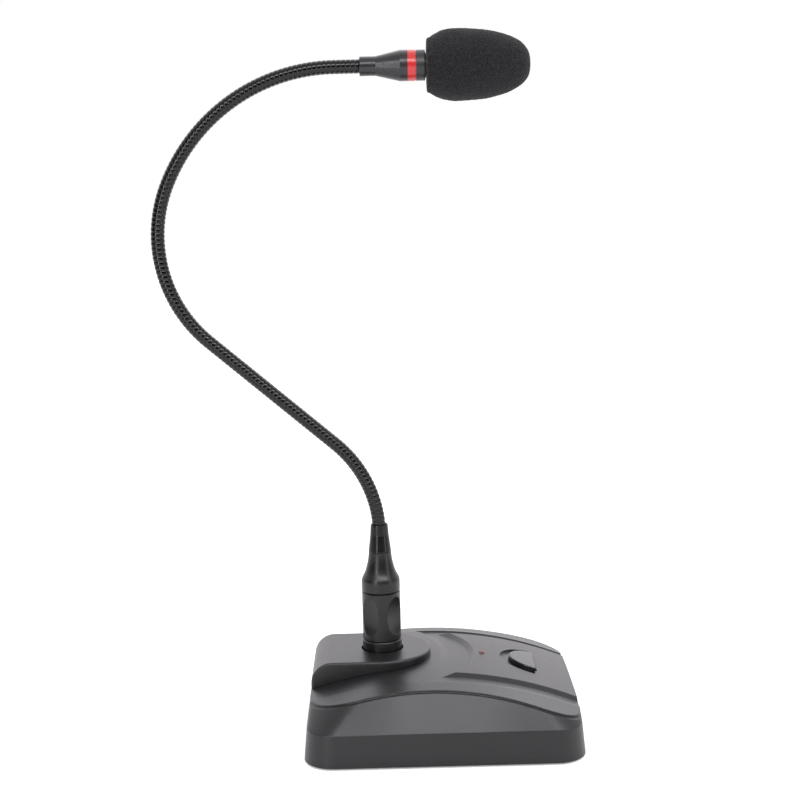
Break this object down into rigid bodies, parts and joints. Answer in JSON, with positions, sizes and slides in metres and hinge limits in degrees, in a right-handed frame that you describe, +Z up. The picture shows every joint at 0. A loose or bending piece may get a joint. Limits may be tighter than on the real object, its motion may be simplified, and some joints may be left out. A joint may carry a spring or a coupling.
{
  "type": "gooseneck podium microphone",
  "caption": "Desk microphone on a weighted arched base with a talk button, a plug-in stem, a curved flexible neck, a red light ring and a foam windscreen.",
  "frame": {"origin": "centre of the whole object's box in X and Y, on the table plane under the rubber feet", "axes": "+X towards the side the head and the button face, +Z up, the stem and the neck in the plane y = 0"},
  "size_m": [0.2062, 0.125, 0.3496],
  "materials": {
    "base_plastic": "satin, very fine moulded grain, charcoal black",
    "plate_plastic": "matt, fine spark-eroded grain, black",
    "inner_plastic": "plain moulded, black",
    "button_plastic": "satin, fine moulded grain, charcoal black",
    "screw_steel": "zinc plated",
    "foot_rubber": "matt black",
    "cell_wrap": "plain printed sleeve with a light band, no wording",
    "contact_nickel": "nickel plated",
    "contact_gold": "gold flashed",
    "ballast_iron": "as cast, painted",
    "board_laminate": "green solder mask with bare pads",
    "component_black": "moulded",
    "lamp_red": "diffused red lens, unlit",
    "ring_red": "translucent red lens, softly lit",
    "black_metal": "satin black lacquer on turned metal",
    "collar_metal": "glossy black lacquer",
    "boot_plastic": "glossy black",
    "neck_metal": "glossy black on a spiral-wound tube",
    "head_metal": "dark grey satin anodised",
    "capsule_plastic": "satin black",
    "grille_steel": "perforated, blackened",
    "capsule_can": "drawn can",
    "wire_insulation": "soft insulation",
    "foam": "open-cell acoustic foam, fine granular skin"
  },
  "bodies": {
    "base": {"base_cover": "base_plastic", "socket_tower": "base_plastic", "bottom_plate": "plate_plastic", "base_screws": "screw_steel", "rubber_feet": "foot_rubber", "battery_box": "inner_plastic", "battery_cells": "cell_wrap", "battery_contacts": "contact_nickel", "ballast_weight": "ballast_iron", "ballast_screws": "screw_steel", "main_board": "board_laminate", "board_posts": "inner_plastic", "board_screws": "screw_steel", "board_components": "component_black", "switch_body": "component_black", "button_spring": "contact_nickel", "status_lamp": "lamp_red", "stem_socket_shell": "black_metal", "socket_insert": "inner_plastic", "socket_contacts": "contact_gold", "tower_screws": "screw_steel", "jack_body": "inner_plastic", "jack_bushing": "contact_nickel", "jack_nut": "contact_nickel", "jack_contacts": "contact_gold"},
    "battery_hatch": {"battery_door": "plate_plastic"},
    "talk_button": {"push_button": "button_plastic"},
    "stem": {"plug_shell": "collar_metal", "plug_insert": "inner_plastic", "plug_pins": "contact_gold", "plug_barrel": "black_metal", "cone_bushing": "black_metal", "boot": "boot_plastic", "neck_clamp": "inner_plastic", "stem_wires": "wire_insulation", "gooseneck_section_0": "neck_metal"},
    "neck_1": {"gooseneck_section_1": "neck_metal"},
    "neck_2": {"gooseneck_section_2": "neck_metal"},
    "neck_3": {"gooseneck_section_3": "neck_metal"},
    "neck_4": {"gooseneck_section_4": "neck_metal"},
    "neck_5": {"gooseneck_section_5": "neck_metal"},
    "neck_6": {"gooseneck_section_6": "neck_metal"},
    "neck_7": {"gooseneck_section_7": "neck_metal"},
    "head": {"gooseneck_section_8": "neck_metal", "neck_ferrule": "contact_nickel", "head_housing": "head_metal", "light_ring": "ring_red", "ring_board": "board_laminate", "capsule_housing": "capsule_plastic", "capsule_grille": "grille_steel", "mic_capsule": "capsule_can", "capsule_gasket": "foot_rubber", "head_cable": "wire_insulation"},
    "windscreen": {"foam_windscreen": "foam"}
  },
  "joints": [
    {"name": "battery_hatch_hinge", "type": "hinge", "parent": "base", "child": "battery_hatch", "pos_m": [0.01917, -0.037, 0.0026], "axis": [0, 1, 0], "range_deg": [0, 90]},
    {"name": "talk_button_press", "type": "slide", "parent": "base", "child": "talk_button", "axis": [0, 0, -1], "range_m": [0, 0.0015], "stiffness_N_per_m": 400, "springref_m": -0.001, "deforming": ["button_spring"]},
    {"name": "stem_pull", "type": "slide", "parent": "base", "child": "stem", "axis": [0, 0, 1], "range_m": [0, 0.03]},
    {"name": "neck_bend_1", "type": "hinge", "parent": "stem", "child": "neck_1", "pos_m": [0.00021, 0, 0.12533], "axis": [0, 1, 0], "range_deg": [-8, 25]},
    {"name": "neck_swing_2", "type": "hinge", "parent": "neck_1", "child": "neck_2", "pos_m": [-0.0265, 0, 0.15643], "axis": [-0.6561, 0, -0.7547], "range_deg": [-30, 30]},
    {"name": "neck_bend_3", "type": "hinge", "parent": "neck_2", "child": "neck_3", "pos_m": [-0.05778, 0, 0.18363], "axis": [0, 1, 0], "range_deg": [-25, 20]},
    {"name": "neck_bend_4", "type": "hinge", "parent": "neck_3", "child": "neck_4", "pos_m": [-0.0876, 0, 0.21224], "axis": [0, 1, 0], "range_deg": [-30, 12]},
    {"name": "neck_bend_5", "type": "hinge", "parent": "neck_4", "child": "neck_5", "pos_m": [-0.09967, 0, 0.25121], "axis": [0, 1, 0], "range_deg": [-30, 12]},
    {"name": "neck_bend_6", "type": "hinge", "parent": "neck_5", "child": "neck_6", "pos_m": [-0.08736, 0, 0.2902], "axis": [0, 1, 0], "range_deg": [-30, 12]},
    {"name": "neck_swing_7", "type": "hinge", "parent": "neck_6", "child": "neck_7", "pos_m": [-0.05801, 0, 0.31897], "axis": [-0.5203, 0, 0.854], "range_deg": [-30, 30]},
    {"name": "neck_bend_8", "type": "hinge", "parent": "neck_7", "child": "head", "pos_m": [-0.019, 0, 0.33185], "axis": [0, 1, 0], "range_deg": [-25, 15]},
    {"name": "windscreen_pull", "type": "slide", "parent": "head", "child": "windscreen", "axis": [1, 0, -0.007], "range_m": [0, 0.055]}
  ]
}
